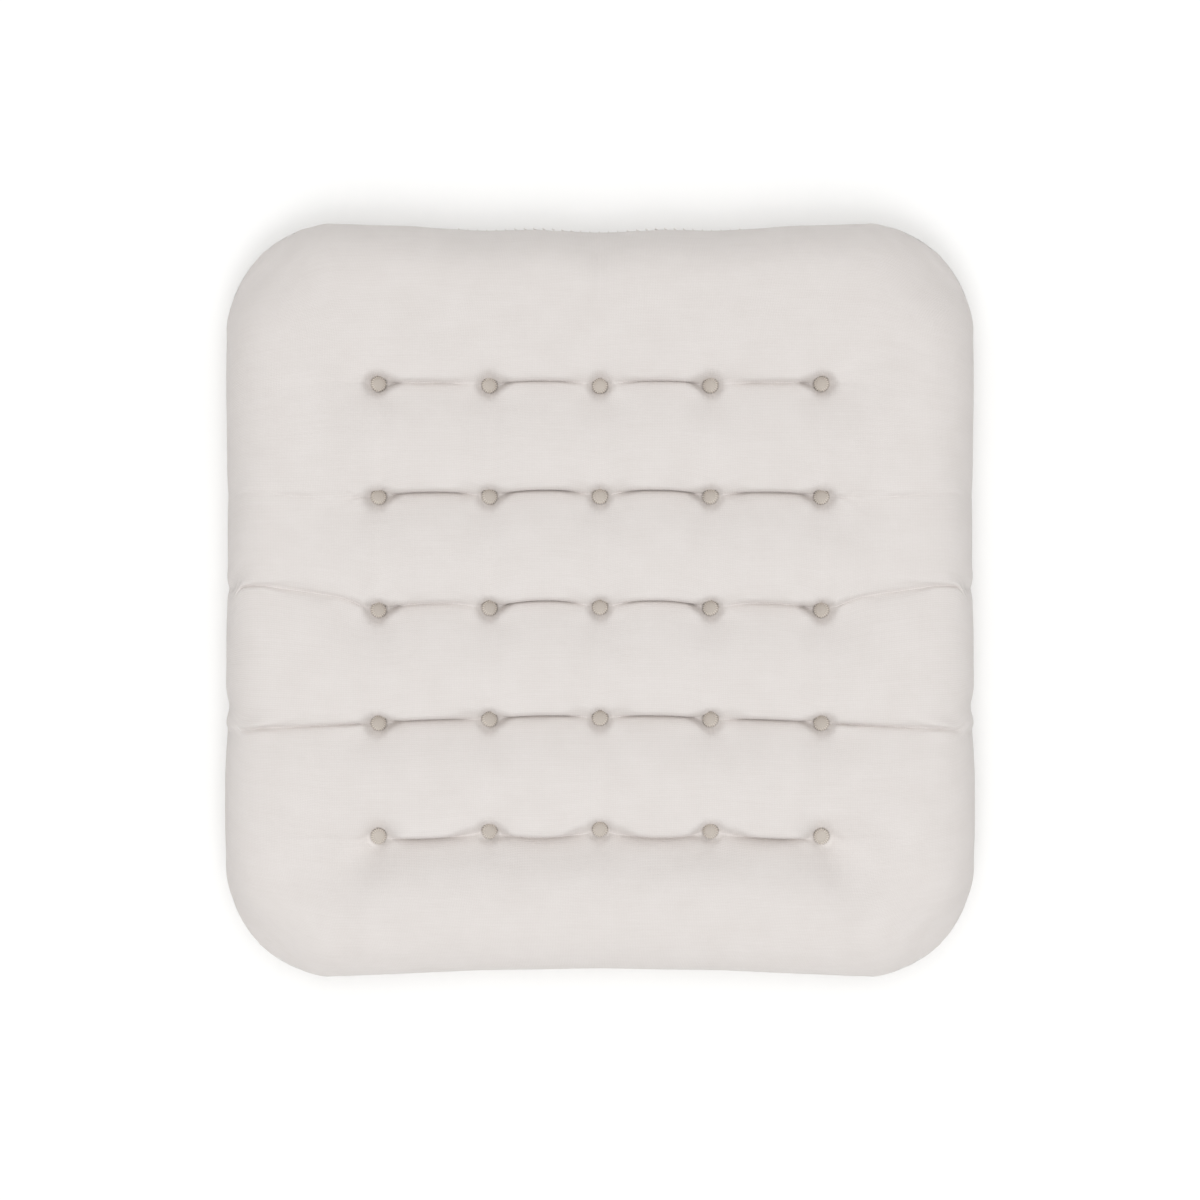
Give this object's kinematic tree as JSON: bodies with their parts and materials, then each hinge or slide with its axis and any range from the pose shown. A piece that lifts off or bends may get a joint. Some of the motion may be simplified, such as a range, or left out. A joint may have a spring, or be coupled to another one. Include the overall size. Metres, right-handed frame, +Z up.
{
  "type": "chair seat pad",
  "caption": "Square tufted chair seat pad with rounded corners, a knife-edge cloth cover, padded core and stitched tufts drawn through both faces.",
  "frame": {"origin": "on the plane that the pad rests on, under the middle of the pad", "axes": "+Z up out of the sitting face, +Y towards the rear edge, +X to the right seen from above"},
  "size_m": [0.4, 0.4, 0.05],
  "materials": {
    "cover_cloth": "plain-weave brushed cotton, natural off-white",
    "disc_cloth": "two pressed layers of the cover cloth",
    "tuft_twine": "spun polyester tufting twine, matt",
    "seam_thread": "spun polyester sewing thread",
    "foam": "open-cell polyurethane foam",
    "wadding": "lofted polyester fibre wadding"
  },
  "bodies": {
    "root": {"cover_top": "cover_cloth", "cover_base": "cover_cloth", "lockstitch_upper_thread": "seam_thread", "lockstitch_lower_thread": "seam_thread", "overlock_thread": "seam_thread", "closing_stitches": "seam_thread", "foam_core": "foam", "wadding_top": "wadding", "wadding_base": "wadding", "tuft_disc_top_row_1": "disc_cloth", "tuft_disc_top_row_2": "disc_cloth", "tuft_disc_top_row_3": "disc_cloth", "tuft_disc_top_row_4": "disc_cloth", "tuft_disc_top_row_5": "disc_cloth", "tuft_disc_base_row_1": "disc_cloth", "tuft_disc_base_row_2": "disc_cloth", "tuft_disc_base_row_3": "disc_cloth", "tuft_disc_base_row_4": "disc_cloth", "tuft_disc_base_row_5": "disc_cloth", "tuft_twine_row_1": "tuft_twine", "tuft_twine_row_2": "tuft_twine", "tuft_twine_row_3": "tuft_twine", "tuft_twine_row_4": "tuft_twine", "tuft_twine_row_5": "tuft_twine"}
  },
  "joints": []
}
